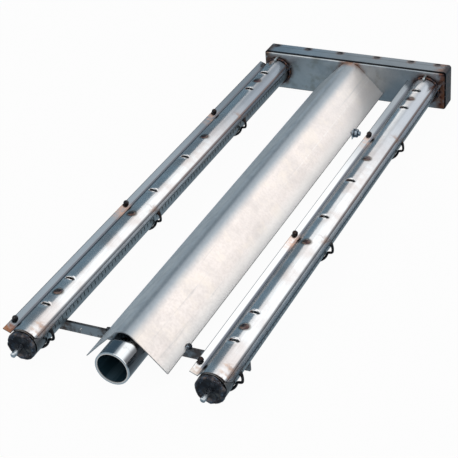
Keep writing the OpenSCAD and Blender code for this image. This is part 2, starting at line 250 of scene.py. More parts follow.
@dataclass(frozen=True)
class Finish:
    """A surface. Subclasses paint it."""

    name: str

    def paint(self, tree: bpy.types.NodeTree) -> None:
        """Paints the surface in an empty node tree."""
        raise NotImplementedError

    def material(self) -> bpy.types.Material:
        """Makes the material, once for each name.

        Returns:
            The finished material.
        """
        known = bpy.data.materials.get(self.name)
        if known:
            return known
        made = bpy.data.materials.new(self.name)
        made.use_nodes = True
        made.node_tree.nodes.clear()
        self.paint(made.node_tree)
        return made


@dataclass(frozen=True)
class CoverSteel(Finish):
    """Bright annealed steel sheet, rolled and pressed, so it mirrors softly in fine streaks along its
    length. The flames left straw and brown tints at its front corners, at the clips and round the plug
    welds, and a blue-grey tint towards the manifold. Painted shade lines the feet of the crown and the
    outer edges of the flanges, painted reflection darkens the crown's left side and turns the flanges
    blue-grey, and each scoop has a painted highlight beside it, brown heat tint with painted shade at its
    front-left, and painted shade in its mouth."""

    middle_x: float
    pressings: float
    flange: str
    rear: str
    corner: str
    burn: str
    scoops: tuple[float, ...] = (-298.0, -246.0, -44.0, 44.0, 246.0, 298.0)
    dimples: tuple[float, ...] = (-273.0, -101.0, 101.0, 273.0)
    foot: float = 15.75
    edge: float = 24.13
    front: float = 7.5

    def paint(self, tree: bpy.types.NodeTree) -> None:
        """Paints streaks and clouds, then the tints over them."""
        p = Paint(tree, "#eceef0", self.middle_x)
        streaks = p.patches(1.6, 0.3, 0.7, Run.LENGTHWISE)
        p.wash("#d6dbde", streaks, 0.6)
        p.wash("#cfc6c3", p.patches(40.0, 0.4, 0.66), 0.7)
        # painted blue-grey reflection on the left flange, set for each cover
        p.wash(self.flange, p.step(p.x, -16.5, -18.5), 0.95)
        # painted blue-grey reflection on the right flange
        p.wash("#a0a9b1", p.step(p.x, 15.8, 18.0), 0.85)
        rear = p.step(p.y, 380.0, 600.0)
        p.wash(self.rear, rear, p.step(p.x, -2.0, 7.0), 0.9)
        p.wash("#6d7983", rear, p.step(p.x, -16.0, -18.0), 0.8)
        # painted dark reflection along the crown's left side
        p.wash("#59646e", p.spot({"x": -13.0}, 3.2, 6.0), 0.85)
        # painted shade along both feet of the crown
        p.wash("#686c75", p.spot({"x": -self.foot}, 1.2, 2.2), 0.9)
        p.wash("#4f555d", p.spot({"x": self.foot}, 0.5, 1.9), 0.85)
        broken = p.patches(26.0, 0.4, 0.6, Run.LENGTHWISE)
        p.wash("#7b6560", p.spot({"x": self.foot}, 0.3, 1.8), broken, 0.6)
        # painted shade along the outer edges of both flanges
        for side in (-1, 1):
            p.wash("#3b4147", p.spot({"x": side * self.edge}, 0.35, 0.9), 0.8)
        corner = p.spot({"x": -24.0, "y": self.front}, 5.0, 17.0)
        p.wash(self.corner, corner, p.patches(9.0, 0.25, 0.5), 0.85)
        burnt = p.spot({"x": -19.0, "y": self.front + 6.0}, 1.5, 8.0)
        p.wash(self.burn, burnt, p.patches(5.0, 0.4, 0.6), 0.8)
        straw = p.spot({"x": 12.0, "y": self.front + 13.0}, 2.0, 13.0)
        p.wash("#c99b72", straw, p.patches(6.0, 0.44, 0.64), 0.55)
        p.wash("#8a6a58", p.spot({"x": 16.0, "y": self.front}, 4.0, 14.0), p.patches(7.0, 0.36, 0.56), 0.75)
        for place in Place:
            if place is not Place.FRONT:
                warm = p.spot({"x": -20.0, "y": place.value - 14.0}, 4.0, 24.0)
                p.wash("#cfa58c", warm, p.patches(10.0, 0.36, 0.6), 0.6)
            near = p.spot({"x": 18.0, "y": place.value}, 3.0, 14.0)
            p.wash("#8f7466", near, p.patches(8.0, 0.38, 0.6), 0.65)
        for station in self.dimples:
            at = {"x": 0.0, "y": self.pressings + station}
            p.wash("#827f7a", p.spot(at, 5.8, 8.0), 0.8)
            p.wash("#3b302f", p.spot(at, 4.6, 5.9), 0.75)
        for station in self.scoops:
            mouth = self.pressings + station
            # painted highlight beside each scoop
            p.wash("#ffffff", p.spot({"x": -2.0, "y": mouth}, 5.5, 8.5), 0.8)
            # brown heat tint with painted shade at the scoop's front-left
            stain_and_shade = p.spot({"x": -4.6, "y": mouth - 0.6}, 1.0, 3.6)
            p.wash("#5d4440", stain_and_shade, p.patches(7.0, 0.3, 0.5), 0.8)
            # painted shade in the scoop's mouth
            p.wash("#43474c", p.spot({"x": 3.8, "y": mouth - 1.0}, 0.8, 3.0), 0.75)
        p.wash("#3f3d3e", p.patches(3.0, 0.765, 0.785), 0.8)
        p.finish(1.0, streaks, (0.17, 0.25), streaks, 0.004)


@dataclass(frozen=True)
class ManifoldSteel(Finish):
    """Cold-rolled mild steel, folded and welded. Flame and weld heat browned its ends, each spot weld is a
    dark oval, and the joint between the pans and the band is a dark line of oxide that also stands for the
    painted shadow of the band's step. The top carries a painted blue-grey reflection, lighter towards the
    left, the right half a painted darker reflection, and the black right end small painted glints."""

    spots: tuple[float, ...] = (-119.0, -71.0, -22.8, 32.1, 82.0, 120.0)
    back: float = 729.0
    top: float = 28.0
    ends: tuple[float, float] = (-130.0, 138.0)
    mix_r: float = 20.0
    seam: float = 704.8
    pits: tuple[float, ...] = (-19.0, -9.0, -1.0, 9.0)

    def paint(self, tree: bpy.types.NodeTree) -> None:
        """Paints rolled steel, then rust, welds and seams."""
        p = Paint(tree, "#bcc1c4")
        grain = p.patches(1.4, 0.3, 0.7, Run.ACROSS)
        p.wash("#9aa3a9", p.patches(34.0, 0.38, 0.66), 0.9)
        p.wash("#8b8a80", p.patches(16.0, 0.5, 0.7), 0.5)
        # painted blue-grey reflection on the top, lighter towards the left
        p.wash("#74828c", p.step(p.z, 26.0, 27.8), 0.8)
        p.wash("#a3b6c4", p.step(p.z, 26.0, 27.8), p.step(p.x, 0.0, -80.0), 0.75)
        # painted darker reflection towards the right end
        p.wash("#7f8890", p.step(p.x, 20.0, 70.0), 0.7)
        left, right = self.ends
        p.wash("#83604e", p.spot({"x": right}, 7.0, 22.0), p.patches(11.0, 0.34, 0.56), 0.85)
        p.wash("#6b4c36", p.spot({"x": left}, 4.0, 14.0), p.patches(9.0, 0.3, 0.52), 0.85)
        p.wash("#4e3029", p.spot({"x": right - 4.0}, 3.0, 9.0), p.patches(4.0, 0.46, 0.6), 0.8)
        p.wash("#2c2422", p.spot({"x": right}, 0.2, 3.5), p.patches(3.0, 0.4, 0.55), 0.9)
        for x in self.spots:
            at = {"x": x, "y": self.back - 4.5}
            p.wash("#7a6157", p.spot(at, 4.6, 8.5), 0.6)
            p.wash("#241f22", p.spot(at, 3.2, 5.4), 0.92)
        front = p.spot({"y": MANIFOLD_Y}, 1.0, 2.0)
        for x, radius in ((-ROW_X, TUBE_R), (0.0, self.mix_r), (ROW_X, TUBE_R)):
            halo = p.spot({"x": x, "z": 0.0}, radius + 3.0, radius + 10.0)
            p.wash("#6b4a3a", halo, front, p.patches(9.0, 0.32, 0.58), 0.75)
            p.wash("#2a2527", p.spot({"x": x, "z": 0.0}, radius + 2.0, radius + 4.4), front, 0.85)
        ridge = p.spot({"x": 0.0, "z": 22.0}, 8.0, 22.0)
        p.wash("#7c543c", ridge, front, p.patches(8.0, 0.32, 0.52), 0.8)
        p.wash("#7b4d38", p.step(p.x, 128.0, 133.0), front, p.patches(8.0, 0.26, 0.5), 0.8)
        end = p.step(p.x, right - 1.2, right - 0.4)
        p.wash("#242327", end, 0.9)
        p.wash("#5f4538", end, p.patches(4.0, 0.46, 0.56), 0.8)
        # small painted glints on the black right end
        p.wash("#a0a6aa", end, p.patches(2.0, 0.62, 0.68), 0.6)
        p.wash("#22252c", p.spot({"x": right, "z": self.top}, 3.5, 9.0), 0.85)
        for z in self.pits:
            p.wash("#481f22", p.spot({"x": right - 6.5, "z": z}, 0.9, 2.6), front, 0.75)
        # dark line at the joint of the pans and the band: dark oxide in the crevice and painted shadow of
        # the band's step
        p.wash("#1d1f23", p.spot({"y": self.seam}, 0.5, 1.1), 0.9)
        p.wash("#39393c", p.spot({"y": self.back - 8.6}, 0.25, 0.9), 0.5)
        p.finish(1.0, grain, (0.3, 0.42), grain, 0.015)


@dataclass(frozen=True)
class CapSteel(Finish):
    """Steel plug blackened by flame. Black scale with a blue cast, worn to brown-grey along its rim, and
    small painted bluish-white glints.
    """

    middle_x: float
    rim: float = 14.6

    def paint(self, tree: bpy.types.NodeTree) -> None:
        """Paints black scale and the worn rim."""
        p = Paint(tree, "#302f34", self.middle_x)
        grain = p.patches(0.9, 0.3, 0.7)
        p.wash("#4b5867", p.patches(8.0, 0.42, 0.62), 0.8)
        p.wash("#3a2b28", p.patches(6.0, 0.5, 0.64), 0.4)
        p.wash("#655a53", p.patches(7.0, 0.5, 0.62), 0.6)
        # small painted bluish-white glints
        p.wash("#7d8c9a", p.patches(2.6, 0.6, 0.66), 0.7)
        p.wash("#24282e", p.spot({"x": 0.0, "z": 0.0}, 8.0, self.rim), 0.6)
        p.wash("#6a6763", p.spot({"x": 7.0, "z": -6.0}, 2.0, 7.0), p.patches(4.0, 0.4, 0.6), 0.7)
        p.finish(0.85, grain, (0.26, 0.44), grain, 0.06)


@dataclass(frozen=True)
class MixingSteel(Finish):
    """Bright drawn steel tube. It mirrors its surroundings, with faint draw lines, and has a cut, brighter
    mouth. Its sides carry painted reflections, dark blue-grey on the left and dark grey on the right, and
    its bore is painted dark as shade, with painted reflection streaks."""

    side_x: float = 21.0
    bore_r: float = 18.2

    def paint(self, tree: bpy.types.NodeTree) -> None:
        """Paints draw lines, dull patches, the cut mouth and the heated rear end."""
        p = Paint(tree, "#e6e9eb")
        lines = p.patches(1.4, 0.3, 0.7, Run.LENGTHWISE)
        p.wash("#cdd3d7", lines, 0.5)
        p.wash("#a39d97", p.patches(14.0, 0.52, 0.72), 0.4)
        p.wash("#8e6a4c", p.spot({"y": MANIFOLD_Y}, 6.0, 30.0), 0.8)
        # painted dark blue-grey reflection on the tube's left side
        p.wash("#76828c", p.step(p.x, 8.0, 4.0), 0.92)
        # painted dark grey reflection on the tube's right side
        p.wash("#595b60", p.spot({"x": self.side_x}, 5.0, 8.5), 0.92)
        # the bore painted dark as shade, with painted reflection streaks
        bore = p.spot({"x": 0.0, "z": 0.0}, self.bore_r, self.bore_r + 0.7)
        p.wash("#243c48", bore)
        p.wash("#5d7684", bore, p.patches(12.0, 0.5, 0.62, Run.LENGTHWISE), 0.5)
        p.wash("#eceff0", p.spot({"y": 0.0}, 0.3, 1.4), 0.9)
        metal = p.step(bore, 1.0, 0.0)
        p.finish(metal, bore, (0.13, 0.3), lines, 0.003)


@dataclass(frozen=True)
class RoofSheet(Finish):
    """Hot-dip aluminised sheet, so it is pale and half dull, with a frosted mottle and faint rolling lines.
    A fine broken lighter line runs along the crease of its right flap. The left flap and the ridge carry a
    painted blue-grey reflection, and the lower part of the right flap a painted highlight."""

    crease: float = 28.6
    front: float = 28.5
    low: float = -15.5
    ridge: float = 6.0

    def paint(self, tree: bpy.types.NodeTree) -> None:
        """Paints mottle, clouds, faint lines and the tint beside the manifold's weld."""
        p = Paint(tree, "#f0e8e4")
        frost = p.patches(3.2, 0.34, 0.66)
        p.wash("#e2dad5", frost, 0.5)
        p.wash("#d3cdca", p.patches(52.0, 0.42, 0.66), 0.5)
        p.wash("#f4ebe2", p.patches(30.0, 0.48, 0.66), 0.6)
        p.wash("#b3b4b5", p.patches(7.0, 0.6, 0.78, Run.LENGTHWISE), 0.5)
        p.wash("#77726e", p.patches(1.8, 0.74, 0.78), 0.6)
        # a lighter broken line along the crease, towards the rear
        crease_line = p.spot({"x": self.crease}, 0.15, 0.55)
        p.wash("#faf8f6", crease_line, p.step(p.y, 330.0, 520.0), p.patches(5.0, 0.4, 0.6), 0.6)
        # painted blue-grey reflection over the left flap
        reflection_painted_flap = p.step(p.x, self.ridge, -self.ridge)
        p.wash("#dfe8ee", reflection_painted_flap, 0.95)
        p.wash("#b4bfc8", reflection_painted_flap, p.patches(22.0, 0.42, 0.66), 0.5)
        p.wash("#c0c9d0", reflection_painted_flap, frost, 0.35)
        # painted blue-grey reflection along the ridge
        p.wash("#929fa9", p.step(p.x, 16.0, self.ridge), p.step(p.x, -5.0, 2.0), 0.9)
        # painted highlight on the lower part of the right flap
        p.wash("#fffdfb", p.step(p.x, 34.0, 47.0), 0.8)
        p.wash("#e2e0e0", p.step(p.x, 8.0, 16.0), p.step(p.y, 430.0, 690.0), 0.4)
        p.wash("#b0754a", p.spot({"y": MANIFOLD_Y, "x": 0.0}, 4.0, 15.0), p.patches(9.0, 0.34, 0.56), 0.7)
        p.wash("#6e6a68", p.spot({"y": self.front}, 0.1, 0.9), 0.5)
        p.wash("#4b4d50", p.spot({"z": self.low}, 0.2, 0.9), 0.7)
        corner = p.spot({"x": 40.0, "y": MANIFOLD_Y}, 12.0, 90.0)
        flap = add_node(tree, "ShaderNodeMath", {0: reflection_painted_flap, 1: 0.6}, operation="MULTIPLY")
        dull = add_node(tree, "ShaderNodeMath", {0: corner, 1: flap.outputs[0]}, operation="MAXIMUM")
        p.finish(p.step(dull.outputs[0], 1.6, 0.0), frost, (0.34, 0.44), frost, 0.01)


@dataclass(frozen=True)
class TubeSteel(Finish):
    """Plain welded steel tube with mill scale, blue-grey, and browned in strips under the flames."""

    def paint(self, tree: bpy.types.NodeTree) -> None:
        """Paints scale and strips."""
        p = Paint(tree, "#a2a9ac")
        grain = p.patches(1.5, 0.3, 0.7, Run.LENGTHWISE)
        p.wash("#7f888d", p.patches(26.0, 0.4, 0.66, Run.LENGTHWISE), 0.8)
        p.wash("#7b6658", p.patches(14.0, 0.5, 0.68, Run.LENGTHWISE), 0.6)
        p.wash("#3a3f44", p.patches(4.0, 0.62, 0.72), 0.6)
        p.wash("#4a3a33", p.spot({"y": 6.0}, 6.0, 26.0), 0.6)
        p.wash("#5b4436", p.spot({"y": MANIFOLD_Y}, 6.0, 26.0), 0.6)
        p.finish(1.0, grain, (0.26, 0.4), grain, 0.01)


@dataclass(frozen=True)
class BarSteel(Finish):
    """Hot-rolled flat bar with blue-grey mill scale and brown heat stains at its welds."""

    stains: tuple[tuple[float, float], ...] = (
        (-ROW_X, 26.0), (-50.0, 12.0), (0.0, 32.0), (56.0, 20.0), (ROW_X, 26.0),
    )
    top: float = -15.5

    def paint(self, tree: bpy.types.NodeTree) -> None:
        """Paints scale, then the stains."""
        p = Paint(tree, "#a9adb0")
        grain = p.patches(1.0, 0.3, 0.7)
        p.wash("#858d93", p.patches(12.0, 0.4, 0.62, Run.ACROSS), 0.8)
        p.wash("#6c594e", p.patches(9.0, 0.54, 0.66), 0.7)
        for x, reach in self.stains:
            p.wash("#54423a", p.spot({"x": x}, reach * 0.4, reach), p.patches(7.0, 0.3, 0.6), 0.8)
        # darker along the top edge
        p.wash("#2e2b2c", p.spot({"z": self.top}, 0.3, 1.0), 0.6)
        p.finish(1.0, grain, (0.32, 0.48), grain, 0.03)


@dataclass(frozen=True)
class ZincSteel(Finish):
    """Zinc-plated steel, bright with a bluish cast and small dull patches."""

    clean: str = "#c8ced3"
    dull: str = "#8d979e"

    def paint(self, tree: bpy.types.NodeTree) -> None:
        """Paints the plating."""
        p = Paint(tree, self.clean)
        fine = p.patches(0.8, 0.3, 0.7)
        p.wash(self.dull, p.patches(3.0, 0.42, 0.62), 0.8)
        p.finish(1.0, fine, (0.14, 0.3), fine, 0.01)


@dataclass(frozen=True)
class WireSteel(Finish):
    """Spring wire blackened in oil, with grey where it was bent and brown where it met the flames."""

    def paint(self, tree: bpy.types.NodeTree) -> None:
        """Paints the black and its worn patches."""
        p = Paint(tree, "#232427")
        grain = p.patches(0.7, 0.3, 0.7)
        p.wash("#4b4a4b", p.patches(4.0, 0.5, 0.64), 0.7)
        p.wash("#463229", p.patches(6.0, 0.52, 0.64), 0.6)
        p.finish(0.9, grain, (0.26, 0.42), grain, 0.02)


@dataclass(frozen=True)
class WeldMetal(Finish):
    """Weld metal with an oxide skin, near black with blue and rust-brown patches."""

    def paint(self, tree: bpy.types.NodeTree) -> None:
        """Paints the oxide."""
        p = Paint(tree, "#38353a")
        grain = p.patches(0.8, 0.3, 0.7)
        p.wash("#6f4a36", p.patches(4.0, 0.46, 0.6), 0.8)
        p.wash("#2a3242", p.patches(5.0, 0.52, 0.66), 0.7)
        p.wash("#8a8a8c", p.patches(2.0, 0.62, 0.7), 0.6)
        p.finish(0.9, grain, (0.26, 0.42), grain, 0.06)


@dataclass(frozen=True)
class DarkWeld(Finish):
    """Weld metal under a skin of slag. It is nearly black, with painted bluish-white glints."""

    def paint(self, tree: bpy.types.NodeTree) -> None:
        """Paints the slag."""
        p = Paint(tree, "#2b2e33")
        grain = p.patches(0.8, 0.3, 0.7)
        # painted bluish-white glints
        p.wash("#8ea0ae", p.patches(2.6, 0.52, 0.6), 0.8)
        p.wash("#4a3a33", p.patches(4.0, 0.56, 0.66), 0.6)
        p.finish(0.9, grain, (0.2, 0.36), grain, 0.05)


@dataclass(frozen=True)
class PlugMetal(Finish):
    """Plug weld seen from above, brown and purple with a greyer edge."""

    def paint(self, tree: bpy.types.NodeTree) -> None:
        """Paints the tints."""
        p = Paint(tree, "#6f625c")
        grain = p.patches(0.8, 0.3, 0.7)
        p.wash("#553d3a", p.patches(5.0, 0.42, 0.6), 0.85)
        p.wash("#43394a", p.patches(4.0, 0.5, 0.62), 0.7)
        p.finish(1.0, grain, (0.14, 0.26), grain, 0.03)


class Bench:
    """The workbench: dresses nodes that the frame has, and shapes and settles new pieces."""

    @staticmethod
    def dress(finish: Finish, *nodes: str) -> None:
        """Gives CAD nodes a finish.

        Args:
            finish: The finish.
            *nodes: Names of the nodes.
        """
        for name in nodes:
            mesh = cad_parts[name].data
            mesh.materials.clear()
            mesh.materials.append(finish.material())
            LOG.info("%s dressed in %s", name, finish.name)

    @staticmethod
    def clear() -> None:
        """Deselects everything."""
        bpy.ops.object.select_all(action="DESELECT")

    @staticmethod
    def pick(piece: bpy.types.Object) -> None:
        """Leaves only one object selected and active."""
        Bench.clear()
        piece.select_set(True)
        bpy.context.view_layer.objects.active = piece

    @staticmethod
    def select(piece: bpy.types.Object, wanted: Callable[[int, Vector], bool]) -> None:
        """Selects vertices in edit mode.

        Args:
            piece: The object, in edit mode.
            wanted: Says for a vertex's number and place if it is wanted.
        """
        bpy.ops.mesh.select_mode(type="VERT")
        bpy.ops.mesh.select_all(action="DESELECT")
        bpy.ops.object.mode_set(mode="OBJECT")
        for vertex in piece.data.vertices:
            vertex.select = wanted(vertex.index, vertex.co)
        bpy.ops.object.mode_set(mode="EDIT")

    @staticmethod
    def smooth(piece: bpy.types.Object, levels: int) -> None:
        """Subdivides the surface and applies it."""
        Bench.pick(piece)
        rounding = piece.modifiers.new("rounding", "SUBSURF")
        rounding.levels = levels
        rounding.render_levels = levels
        bpy.ops.object.modifier_apply(modifier=rounding.name)

    @staticmethod
    def roughen(piece: bpy.types.Object, size_mm: float, height_mm: float) -> None:
        """Moves the surface in and out in lumps of a real size."""
        Bench.pick(piece)
        lumps = bpy.data.textures.new(f"{piece.name}_lumps", "CLOUDS")
        lumps.noise_scale = size_mm * MILLI
        lumps.noise_depth = 1
        push = piece.modifiers.new("lumps", "DISPLACE")
        push.texture = lumps
        push.texture_coords = "GLOBAL"
        push.mid_level = 0.5
        push.strength = height_mm * MILLI
        bpy.ops.object.modifier_apply(modifier=push.name)

    @staticmethod
    def join(name: str, pieces: list[bpy.types.Object]) -> bpy.types.Object:
        """Joins pieces of one kind.

        Args:
            name: The joined object's name.
            pieces: The objects.

        Returns:
            The joined object.
        """
        Bench.pick(pieces[0])
        for piece in pieces:
            piece.select_set(True)
        bpy.ops.object.join()
        pieces[0].name = name
        return pieces[0]

    @staticmethod
    def settle(piece: bpy.types.Object, finish: Finish, slot: str, *stands_for: str) -> None:
        """Finishes a new piece: its place goes into its mesh, and it rides on the burner.

        Args:
            piece: The new object.
            finish: Its finish.
            slot: The record's material slot; not used.
            *stands_for: The CAD nodes that it replaces.
        """
        Bench.pick(piece)
        bpy.ops.object.transform_apply(location=True, rotation=True, scale=True)
        bpy.ops.object.mode_set(mode="EDIT")
        bpy.ops.mesh.select_all(action="SELECT")
        bpy.ops.mesh.remove_doubles(threshold=1e-6)
        bpy.ops.mesh.normals_make_consistent(inside=False)
        bpy.ops.object.mode_set(mode="OBJECT")
        bpy.ops.object.shade_smooth_by_angle(angle=math.radians(50))
        piece.data.materials.clear()
        piece.data.materials.append(finish.material())
        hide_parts(*stands_for)
        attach(piece, BODY)
        LOG.info("%s built with %d faces", piece.name, len(piece.data.polygons))


@dataclass
class WireClip:
    """A sprung wire that grips one burner tube from below. Its left end is a round knob over the cover's
    notch."""

    side: Side
    place: Place
    wire_r: float = 1.5
    gap: float = 0.1
    jog_out: float = 6.4
    jog_low: float = 1.4
    jog_high: float = 9.9
    wrap_end: float = -12.0
    knob: tuple[float, float] = (-20.9, 14.5)
    knob_r: float = 3.5
    neck: float = 1.3
    neck_out: float = 1.9
    toe: tuple[float, float] = (22.1, 8.9)
    toe_r: float = 2.8
    arc_step: float = 14.0

    def path(self) -> list[tuple[float, float, float]]:
        """Works out the wire's line, seen from the front round the tube's axis.

        Returns:
            Points of x, z and radius in mm, from the knob round the underside to the toe.
        """
        shrink = 1 - math.radians(self.arc_step) ** 2 / 6
        reach = (TUBE_R + self.wire_r + self.gap) / shrink
        ball = [math.radians(angle) for angle in range(8, 150, 18)]
        points = []
        for turn in ball:
            height = self.knob[1] + math.cos(turn) * self.knob_r
            points.append((self.knob[0], height, math.sin(turn) * self.knob_r))
        lead = self.knob[1] - self.neck * self.knob_r
        points.append((self.knob[0] + self.neck_out, lead, self.wire_r))
        points.append((-reach, lead / 3, self.wire_r))
        steps = int((180 + self.wrap_end) / self.arc_step)
        for i in range(steps + 1):
            angle = math.radians(180 + i * self.arc_step)
            points.append((reach * math.cos(angle), reach * math.sin(angle), self.wire_r))
        end = math.radians(self.wrap_end)
        foot = (reach * math.cos(end), reach * math.sin(end))
        out = foot[0] + self.jog_out
        points.append((foot[0] + self.jog_out * 0.35, foot[1] + self.jog_low * 0.3, self.wire_r))
        points.append((out - 1.2, foot[1] + self.jog_low * 0.7, self.wire_r))
        points.append((out, foot[1] + self.jog_low + 1.4, self.wire_r))
        points.append((out, foot[1] + self.jog_high - 1.6, self.wire_r))
        away = Vector((self.toe[0] - out, self.toe[1] - foot[1] - self.jog_high)).normalized()
        for turn in reversed(ball):
            spot = Vector(self.toe) + away * (math.cos(turn) * self.toe_r)
            points.append((spot[0], spot[1], math.sin(turn) * self.toe_r))
        return points

    def build(self, finish: Finish) -> None:
        """Bends the wire and turns it into a mesh.

        Args:
            finish: The blackened steel of the clips.
        """
        Bench.clear()
        bpy.ops.curve.primitive_nurbs_path_add()
        wire = bpy.context.object
        wire.name = f"clip_wire_{self.side.word}_{self.place.name.lower()}"
        curve = wire.data
        curve.splines.clear()
        line = curve.splines.new("NURBS")
        points = self.path()
        line.points.add(len(points) - 1)
        for point, (x, z, radius) in zip(line.points, points):
            point.co = ((self.side.x + x) * MILLI, self.place.value * MILLI, z * MILLI, 1)
            point.radius = radius / self.wire_r
        line.order_u = 3
        line.resolution_u = 5
        line.use_endpoint_u = True
        curve.dimensions = "3D"
        curve.bevel_depth = self.wire_r * MILLI
        curve.bevel_resolution = 4
        curve.use_fill_caps = True
        Bench.pick(wire)
        bpy.ops.object.convert(target="MESH")
        node = f"wire_clip_{self.side.word}_{self.place.name.lower()}"
        Bench.settle(bpy.context.object, finish, "black_steel", node)


@dataclass
class WeldRing:
    """A bead of weld metal round a tube at the manifold, laid in overlapping ripples."""

    name: str
    node: str
    x: float
    radius: float
    leg: float
    ring_parts: int = 120
    section_parts: int = 12
    ripple: int = 3
    bead_share: float = 0.52
    stand_off: float = 0.72
    set_back: float = 0.9
    pinch: float = 0.2
    lump_size: float = 5.0
    lump_share: float = 0.45

    def build(self, finish: Finish) -> None:
        """Adds a ring, pinches it between the ripples and makes it uneven.

        Args:
            finish: The weld metal.
        """
        Bench.clear()
        bead_r = self.leg * self.bead_share
        major = self.radius + bead_r * self.stand_off
        bpy.ops.mesh.primitive_torus_add(
            major_radius=major * MILLI,
            minor_radius=bead_r * MILLI,
            major_segments=self.ring_parts,
            minor_segments=self.section_parts,
            location=(self.x * MILLI, (MANIFOLD_Y - bead_r * self.set_back) * MILLI, 0),
            rotation=(math.pi / 2, 0, 0),
        )
        ring = bpy.context.object
        ring.name = self.name
        bpy.ops.object.mode_set(mode="EDIT")
        Bench.select(ring, lambda number, _: number // self.section_parts % self.ripple == 0)
        bpy.ops.transform.shrink_fatten(value=-bead_r * self.pinch * MILLI)
        bpy.ops.object.mode_set(mode="OBJECT")
        Bench.smooth(ring, 1)
        Bench.roughen(ring, self.lump_size, bead_r * self.lump_share)
        Bench.settle(ring, finish, "weld_steel", self.node)


@dataclass
class EndCap:
    """The plug in a burner tube's mouth. Its rim is an uneven bead round a sunk face."""

    side: Side
    back: float = 6.0
    rim_r: float = 2.5
    recess: float = 2.3
    hole_r: float = 2.9
    shoulder: float = 4.0
    face: tuple[tuple[float, float], ...] = ((0.74, -0.05), (0.55, -0.1), (0.4, 0.0))
    lumps: tuple[tuple[float, float], ...] = ((8.0, 2.4), (1.8, 0.35))
    parts: int = 72

    def profile(self) -> list[tuple[float, float]]:
        """Works out the rim's section.

        Returns:
            Points of radius and y in mm, from the rear edge round the rim to the hole.
        """
        middle = TUBE_R - self.rim_r
        points = [(TUBE_R, self.shoulder)]
        for angle in range(0, 151, 30):
            turn = math.radians(angle)
            points.append((middle + self.rim_r * math.cos(turn), self.rim_r * (1 - math.sin(turn))))
        points += [(middle * share, self.recess + dip) for share, dip in self.face]
        points.append((self.hole_r, self.recess))
        return points

    def build(self, finish: Finish) -> None:
        """Draws the rim out of a circle and makes it uneven.

        Args:
            finish: The blackened steel of this side.
        """
        Bench.clear()
        bpy.ops.mesh.primitive_circle_add(
            vertices=self.parts,
            radius=TUBE_R * MILLI,
            location=(self.side.x * MILLI, self.back * MILLI, 0),
            rotation=(math.pi / 2, 0, 0),
        )
        cap = bpy.context.object
        cap.name = f"cap_{self.side.word}"
        bpy.ops.object.transform_apply(location=True, rotation=True, scale=True)
        bpy.ops.object.mode_set(mode="EDIT")
        bpy.ops.mesh.select_all(action="SELECT")
        radius, y = TUBE_R, self.back
        for next_radius, next_y in self.profile():
            move = (0, (next_y - y) * MILLI, 0)
            bpy.ops.mesh.extrude_region_move(TRANSFORM_OT_translate={"value": move})
            share = next_radius / radius
            centre = (self.side.x * MILLI, next_y * MILLI, 0)
            bpy.ops.transform.resize(value=(share, 1, share), center_override=centre)
            radius, y = next_radius, next_y
        bpy.ops.mesh.edge_face_add()
        Bench.select(cap, lambda _, place: place.y > (self.back - 0.1) * MILLI)
        bpy.ops.mesh.edge_face_add()
        bpy.ops.object.mode_set(mode="OBJECT")
        Bench.smooth(cap, 1)
        for size, height in self.lumps:
            Bench.roughen(cap, size, height)
        Bench.settle(cap, finish, "black_steel", f"end_cap_{self.side.word}")


@dataclass
class PlugWelds:
    """Four plug welds of one cover. The shape lists shares of the radius, each with its depth below the
    top."""

    side: Side
    pressings: float
    stations: tuple[float, ...] = (-273.0, -101.0, 101.0, 273.0)
    radius: float = 5.0
    rise: float = 0.9
    sunk: float = 1.5
    shape: tuple[tuple[float, float], ...] = (
        (1.0, 1.5), (0.95, 0.8), (0.8, 0.4), (0.6, 0.15), (0.38, 0.03), (0.16, 0.0),
    )
    lump: tuple[float, float] = (2.5, 0.25)
    parts: int = 32

    def dome(self, station: float) -> bpy.types.Object:
        """Draws one dome out of a disc.

        Args:
            station: Its place from the middle of the pressings.

        Returns:
            The dome.
        """
        Bench.clear()
        centre = Vector((self.side.x, self.pressings + station, CROWN_TOP - self.sunk)) * MILLI
        bpy.ops.mesh.primitive_circle_add(
            vertices=self.parts, radius=self.radius * MILLI, fill_type="NGON", location=centre
        )
        made = bpy.context.object
        bpy.ops.object.mode_set(mode="EDIT")
        bpy.ops.mesh.select_all(action="SELECT")
        share, height = 1.0, 0.0
        for next_share, depth in self.shape:
            next_height = self.sunk + self.rise - depth
            move = (0, 0, (next_height - height) * MILLI)
            bpy.ops.mesh.extrude_region_move(TRANSFORM_OT_translate={"value": move})
            bpy.ops.transform.resize(value=(next_share / share, next_share / share, 1))
            share, height = next_share, next_height
        bpy.ops.object.mode_set(mode="OBJECT")
        return made

    def build(self, finish: Finish) -> None:
        """Makes the four domes.

        Args:
            finish: The stained weld metal.
        """
        domes = [self.dome(station) for station in self.stations]
        plugs = Bench.join(f"plug_welds_{self.side.word}", domes)
        Bench.smooth(plugs, 1)
        Bench.roughen(plugs, *self.lump)
        Bench.settle(plugs, finish, "weld_steel", f"cover_welds_{self.side.word}")


